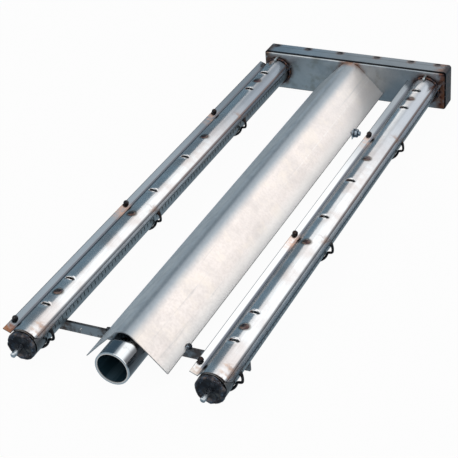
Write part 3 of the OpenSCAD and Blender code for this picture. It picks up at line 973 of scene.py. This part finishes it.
@dataclass
class Blobs:
    """Small weld blobs that stand for one CAD node. Each place is x, y, z and a radius."""

    name: str
    node: str
    places: tuple[tuple[float, float, float, float], ...]
    uneven: float = 0.05
    first_seed: int = 3
    lump: tuple[float, float] = (2.2, 0.9)

    def build(self, finish: Finish) -> None:
        """Makes a lumpy ball at each place.

        Args:
            finish: The weld metal.
        """
        made = []
        for number, (x, y, z, radius) in enumerate(self.places):
            Bench.clear()
            bpy.ops.mesh.primitive_ico_sphere_add(
                subdivisions=3, radius=radius * MILLI, location=Vector((x, y, z)) * MILLI
            )
            blob = bpy.context.object
            bpy.ops.object.mode_set(mode="EDIT")
            bpy.ops.mesh.select_all(action="SELECT")
            bpy.ops.transform.vertex_random(
                offset=radius * self.uneven * MILLI, seed=number + self.first_seed
            )
            bpy.ops.object.mode_set(mode="OBJECT")
            Bench.smooth(blob, 1)
            made.append(blob)
        blobs = Bench.join(self.name, made)
        Bench.roughen(blobs, *self.lump)
        Bench.settle(blobs, finish, "weld_steel", self.node)


@dataclass
class RoofNut:
    """The hexagon nut that holds the roof's lug, with chamfered corners."""

    inner: float = 50.2
    thick: float = 5.0
    flats: float = 10.0
    chamfer: float = 0.7
    end_share: float = 0.86
    edge: float = 0.25
    y: float = 582.0
    z: float = -16.0

    def build(self, finish: Finish) -> None:
        """Chamfers both ends of a hexagon.

        Args:
            finish: The plating.
        """
        Bench.clear()
        bpy.ops.mesh.primitive_cylinder_add(
            vertices=6,
            radius=self.flats / math.sqrt(3) * MILLI,
            depth=(self.thick - 2 * self.chamfer) * MILLI,
            location=Vector((self.inner + self.thick / 2, self.y, self.z)) * MILLI,
            rotation=(0, math.pi / 2, 0),
        )
        nut = bpy.context.object
        nut.name = "lug_nut"
        bpy.ops.object.transform_apply(location=True, rotation=True, scale=True)
        middle = (self.inner + self.thick / 2) * MILLI
        bpy.ops.object.mode_set(mode="EDIT")
        for way in (-1, 1):
            Bench.select(nut, lambda _, place: (place.x - middle) * way > 0)
            move = (way * self.chamfer * MILLI, 0, 0)
            bpy.ops.mesh.extrude_region_move(TRANSFORM_OT_translate={"value": move})
            bpy.ops.transform.resize(value=(1, self.end_share, self.end_share))
        bpy.ops.mesh.select_all(action="SELECT")
        bpy.ops.mesh.bevel(offset=self.edge * MILLI, segments=2)
        bpy.ops.object.mode_set(mode="OBJECT")
        Bench.settle(nut, finish, "zinc_steel", "roof_nut")


@dataclass
class Burners:
    """Both rows: slotted tube, cap, stud, cover, plug welds and clips. The colours of a cover are the
    painted reflection on its left flange and the tints of its rear end, its front corner and the burn
    there."""

    pressings: float = 358.75
    stagger: float = 3.5
    # first of each: painted reflection on the left flange; the rest are tints
    left_tints_and_reflection: tuple[str, str, str, str] = ("#8b98a2", "#78838f", "#a06d48", "#7d4a2f")
    right_tints_and_reflection: tuple[str, str, str, str] = ("#eceef0", "#a8afb8", "#d3cbc4", "#b8a498")

    def build(self) -> None:
        """Dresses each row and builds its small pieces."""
        Bench.dress(TubeSteel("mill_scaled_steel_tube"), "burner_tube_left", "burner_tube_right")
        Bench.dress(ZincSteel("zinc_plated_steel"), "support_stud_left", "support_stud_right")
        wire = WireSteel("oil_blackened_spring_wire")
        plug = PlugMetal("heat_tinted_plug_weld")
        for side in Side:
            middle = self.pressings + side.value * self.stagger
            tints = self.left_tints_and_reflection if side is Side.LEFT else self.right_tints_and_reflection
            sheet = CoverSteel(f"bright_annealed_sheet_{side.word}", side.x, middle, *tints)
            Bench.dress(sheet, f"cover_{side.word}")
            EndCap(side).build(CapSteel(f"flame_blackened_steel_{side.word}", side.x))
            PlugWelds(side, middle).build(plug)
            for place in Place:
                WireClip(side, place).build(wire)


@dataclass
class Roof:
    """The folded roof over the mixing tube, with its one nut."""

    def build(self) -> None:
        """Dresses the sheet and the tube below it, and builds the nut."""
        Bench.dress(RoofSheet("aluminised_sheet"), "roof_shield")
        Bench.dress(MixingSteel("bright_drawn_steel_tube"), "mixing_tube")
        plating = ZincSteel("dull_zinc_plating", "#8b98a3", "#49525b")
        Bench.dress(plating, "roof_stud", "roof_washer")
        RoofNut().build(plating)


@dataclass
class Framework:
    """The manifold at the rear and the crossbar at the front."""

    def build(self) -> None:
        """Dresses both."""
        steel = ManifoldSteel("cold_rolled_mild_steel")
        Bench.dress(steel, "manifold_front_plate", "manifold_band", "manifold_back_plate")
        Bench.dress(BarSteel("hot_rolled_flat_bar"), "front_crossbar")


@dataclass
class Welds:
    """All the weld metal between the tubes, the manifold, the roof and the crossbar."""

    seam_x: tuple[float, float] = (-128.3, 136.3)
    seam_z: tuple[float, ...] = (-8.0, 1.5, 12.0)
    seam_y: float = 704.4
    seam_r: float = 1.5
    tacks: tuple[tuple[float, float, float, float], ...] = (
        (-48.0, 77.0, -15.0, 3.0), (49.0, 77.0, -14.0, 3.8),
    )
    mix_r: float = 20.0
    row_leg: float = 4.0
    mix_leg: float = 2.0

    def build(self) -> None:
        """Dresses the beads on the crossbar and builds the others."""
        metal = WeldMetal("oxidised_weld_metal")
        Bench.dress(metal, "crossbar_welds")
        for side in Side:
            name, node = f"weld_ring_{side.word}", f"tube_weld_{side.word}"
            WeldRing(name, node, side.x, TUBE_R, self.row_leg).build(metal)
        WeldRing("weld_ring_mixing", "mixing_tube_weld", 0.0, self.mix_r, self.mix_leg).build(metal)
        seams = tuple((x, self.seam_y, z, self.seam_r) for x in self.seam_x for z in self.seam_z)
        Blobs("seam_blobs", "manifold_seam_welds", seams).build(metal)
        Blobs("roof_tacks", "roof_tack_welds", self.tacks).build(DarkWeld("slag_covered_weld"))
        Bench.dress(ZincSteel("bright_weld_metal", "#b3bbbd", "#838c90"), "cover_tack_welds")


@dataclass
class Studio:
    """A plain pale floor, soft lamps, cards that only reflections see, and the camera."""

    lens: float = 108.7
    eye: tuple[float, float, float] = (0.6292, -0.9513, 0.8544)
    right: tuple[float, float, float] = (0.9079, 0.4135, -0.0682)
    up: tuple[float, float, float] = (-0.1652, 0.5027, 0.8485)
    ahead: tuple[float, float, float] = (-0.3852, 0.7591, -0.5248)
    middle: tuple[float, float, float] = (0.0, 0.36, 0.0)
    floor_z: float = -0.0281
    floor_size: tuple[float, float] = (12.0, 12.0)
    floor_glow: float = 0.96
    diffuse_level: float = 0.5
    floor_card: tuple[float, float] = (3.0, 3.0)
    floor_card_y: float = 0.4
    floor_card_lift: float = 0.0004
    side_card: tuple[float, float] = (2.0, 2.2)
    side_card_at: tuple[float, float, float] = (-1.37, 1.47, 1.05)
    side_card_towards: tuple[float, float, float] = (0.12, -0.73, 1.05)
    lamp_size: float = 1.6
    key: tuple[float, float, float] = (0.85, 1.75, 1.2)
    key_watts: float = 2.6
    fill: tuple[float, float, float] = (-0.4, -0.9, 1.7)
    fill_watts: float = 3.0

    def camera(self) -> None:
        """Places the camera at the photograph's viewing angle."""
        data = bpy.data.cameras.new("camera")
        data.lens = self.lens
        data.sensor_width = 36.0
        camera = bpy.data.objects.new("camera", data)
        bpy.context.scene.collection.objects.link(camera)
        turn = Matrix((self.right, self.up, -Vector(self.ahead))).transposed()
        camera.matrix_world = Matrix.Translation(self.eye) @ turn.to_4x4()
        bpy.context.scene.camera = camera

    def plane(self, name: str, size: tuple[float, float], at: Vector, towards: Vector) -> bpy.types.Object:
        """Adds a flat card.

        Args:
            name: Its name.
            size: Width and height in metres.
            at: Its middle.
            towards: The point that it faces.

        Returns:
            The card, marked as part of the stage.
        """
        Bench.clear()
        bpy.ops.mesh.primitive_plane_add(size=1)
        card = bpy.context.object
        card.name = name
        card.scale = (size[0], size[1], 1)
        card.rotation_mode = "QUATERNION"
        card.rotation_quaternion = (towards - at).to_track_quat("Z", "Y")
        card.location = at
        return card

    @staticmethod
    def ray_is(tree: bpy.types.NodeTree, *kinds: str) -> Socket:
        """Tells rays apart.

        Args:
            tree: The node tree that asks.
            *kinds: The names of the kinds that count.

        Returns:
            One for a ray of these kinds, else zero.
        """
        rays = add_node(tree, "ShaderNodeLightPath").outputs
        seen = rays[kinds[0]]
        for kind in kinds[1:]:
            either = add_node(tree, "ShaderNodeMath", {0: seen, 1: rays[kind]}, operation="MAXIMUM")
            seen = either.outputs[0]
        return seen

    def floor(self) -> None:
        """Lays the floor. The camera sees it white, with a faint shadow."""
        at = Vector((0, 0, self.floor_z))
        card = self.plane("floor", self.floor_size, at, at + Vector((0, 0, 1)))
        made = bpy.data.materials.new("pale_floor")
        made.use_nodes = True
        tree = made.node_tree
        tree.nodes.clear()
        seen = self.ray_is(tree, "Is Camera Ray", "Is Glossy Ray")
        share = add_node(tree, "ShaderNodeMath", {0: seen, 1: self.floor_glow}, operation="MULTIPLY")
        matte = add_node(tree, "ShaderNodeBsdfDiffuse", {"Color": (0.9, 0.9, 0.9, 1)})
        glow = add_node(tree, "ShaderNodeEmission", {"Color": (1, 1, 1, 1), "Strength": 1.0})
        both = add_node(
            tree, "ShaderNodeMixShader", {0: share.outputs[0], 1: matte.outputs[0], 2: glow.outputs[0]}
        )
        add_node(tree, "ShaderNodeOutputMaterial", {"Surface": both.outputs[0]})
        card.data.materials.append(made)

    def reflector(
        self, name: str, size: tuple[float, float], at: Vector, towards: Vector, colour: str
    ) -> None:
        """Adds a blue-grey card that only reflections see.

        Args:
            name: Its name.
            size: Width and height in metres.
            at: Its middle.
            towards: The point that it faces.
            colour: Its sRGB colour.
        """
        card = self.plane(name, size, at, towards)
        made = bpy.data.materials.new(name)
        made.use_nodes = True
        tree = made.node_tree
        tree.nodes.clear()
        glow = add_node(tree, "ShaderNodeEmission", {"Color": linear(colour), "Strength": 1.0})
        add_node(tree, "ShaderNodeOutputMaterial", {"Surface": glow.outputs[0]})
        card.data.materials.append(made)
        card.visible_camera = False
        card.visible_diffuse = False
        card.visible_shadow = False
        card.visible_transmission = False

    def lamp(self, name: str, size: float, power: float, at: Vector, towards: Vector) -> None:
        """Adds a soft square lamp.

        Args:
            name: Its name.
            size: Its side in metres.
            power: Its power in watts.
            at: Its place.
            towards: The point that it lights.
        """
        data = bpy.data.lights.new(name, "AREA")
        data.shape = "SQUARE"
        data.size = size
        data.energy = power
        lamp = bpy.data.objects.new(name, data)
        bpy.context.scene.collection.objects.link(lamp)
        lamp.rotation_mode = "QUATERNION"
        lamp.location = at
        lamp.rotation_quaternion = (towards - at).to_track_quat("-Z", "Y")

    def world(self) -> None:
        """Sets a white surround that is gentler on matte surfaces."""
        world = bpy.data.worlds.new("white_room")
        world.use_nodes = True
        tree = world.node_tree
        tree.nodes.clear()
        seen = self.ray_is(tree, "Is Camera Ray", "Is Glossy Ray", "Is Transmission Ray")
        level = add_node(
            tree, "ShaderNodeMapRange", {"Value": seen, "To Min": self.diffuse_level, "To Max": 1.0}
        )
        back = add_node(tree, "ShaderNodeBackground", {"Color": (1, 1, 1, 1), "Strength": level.outputs[0]})
        add_node(tree, "ShaderNodeOutputWorld", {"Surface": back.outputs[0]})
        bpy.context.scene.world = world

    def build(self) -> None:
        """Sets up the whole studio."""
        middle = Vector(self.middle)
        self.camera()
        self.floor()
        self.world()
        low = Vector((0, self.floor_card_y, self.floor_z + self.floor_card_lift))
        self.reflector("floor_card", self.floor_card, low, low + Vector((0, 0, 1)), "#94a3ad")
        side, towards = Vector(self.side_card_at), Vector(self.side_card_towards)
        self.reflector("side_card", self.side_card, side, towards, "#6a7f8d")
        self.lamp("key", self.lamp_size, self.key_watts, Vector(self.key), middle)
        self.lamp("fill", self.lamp_size, self.fill_watts, Vector(self.fill), middle)
        bpy.context.scene.view_settings.view_transform = "Standard"


def main() -> None:
    """Builds the burner's looks in order."""
    logging.basicConfig(level=logging.INFO, format="%(message)s")
    Studio().build()
    Framework().build()
    Burners().build()
    Roof().build()
    Welds().build()


if __name__ == "__main__":
    main()
